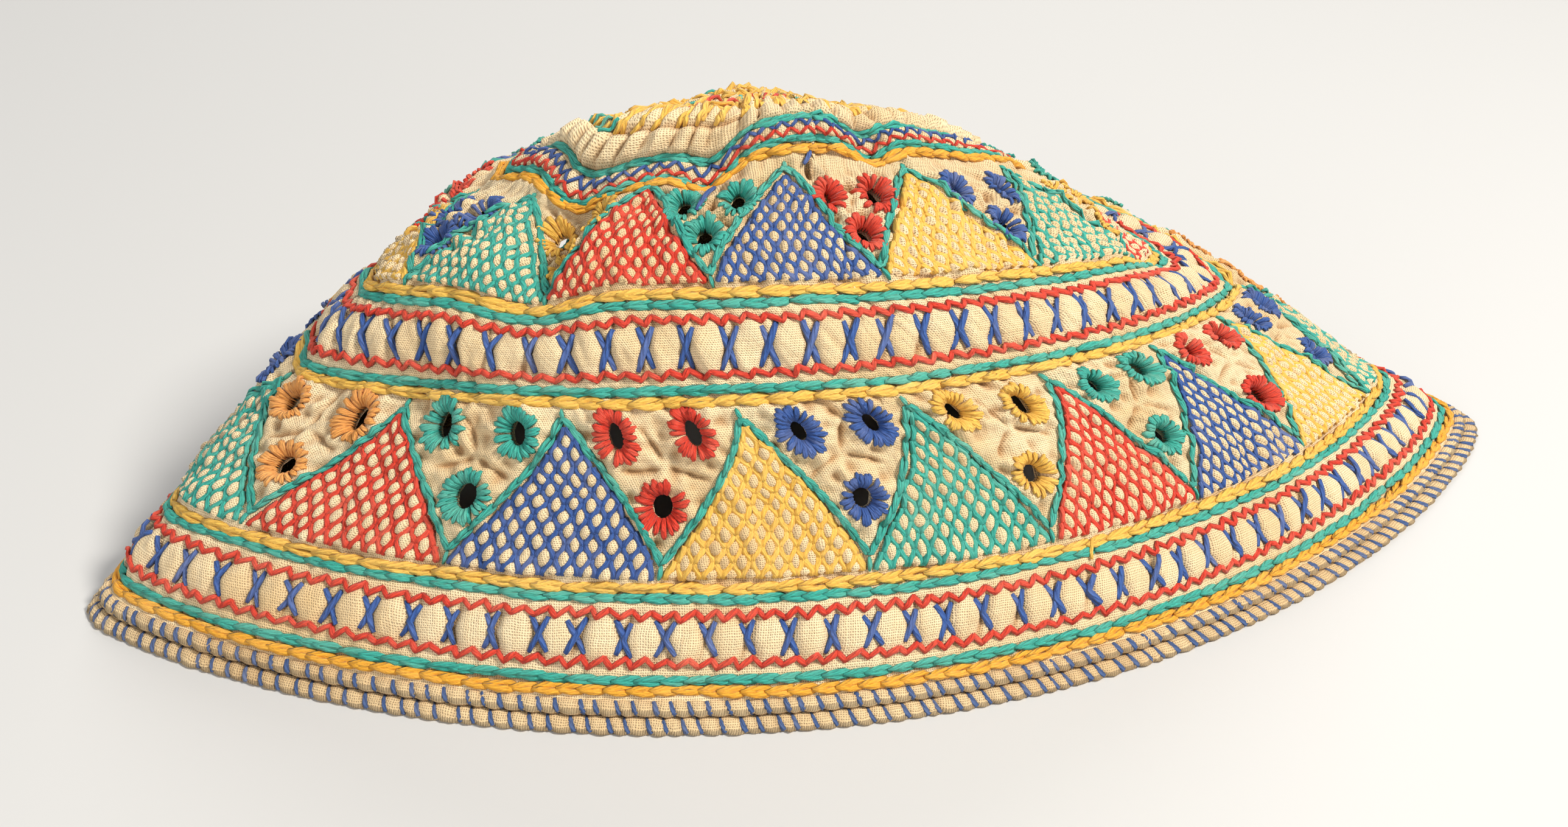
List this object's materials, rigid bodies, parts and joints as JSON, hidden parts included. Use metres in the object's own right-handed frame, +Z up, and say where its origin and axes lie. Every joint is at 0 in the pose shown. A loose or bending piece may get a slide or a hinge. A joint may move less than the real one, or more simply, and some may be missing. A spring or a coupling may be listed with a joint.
{
  "type": "embroidered cotton cap",
  "caption": "Soft conical cap of ivory cloth with pierced eyelets, rows of stitched triangles, banded borders and a rolled rim, standing on its rim.",
  "frame": {"origin": "centre of the rim on the surface that the cap stands on", "axes": "+X along the rim from the left crease to the right crease, +Y from the front to the back, +Z up"},
  "size_m": [0.255, 0.1121, 0.0774],
  "materials": {
    "ivory_cloth": "matt plain weave cotton",
    "teal_thread": "matt cotton thread",
    "yellow_thread": "matt cotton thread",
    "red_thread": "matt cotton thread",
    "blue_thread": "matt cotton thread",
    "hem_cloth": "matt cotton with slanted overcast stitches"
  },
  "bodies": {
    "root": {"rim_roll_lower": "hem_cloth", "rim_roll_upper": "hem_cloth", "side_wall": "ivory_cloth", "crown_top": "ivory_cloth"}
  },
  "joints": []
}
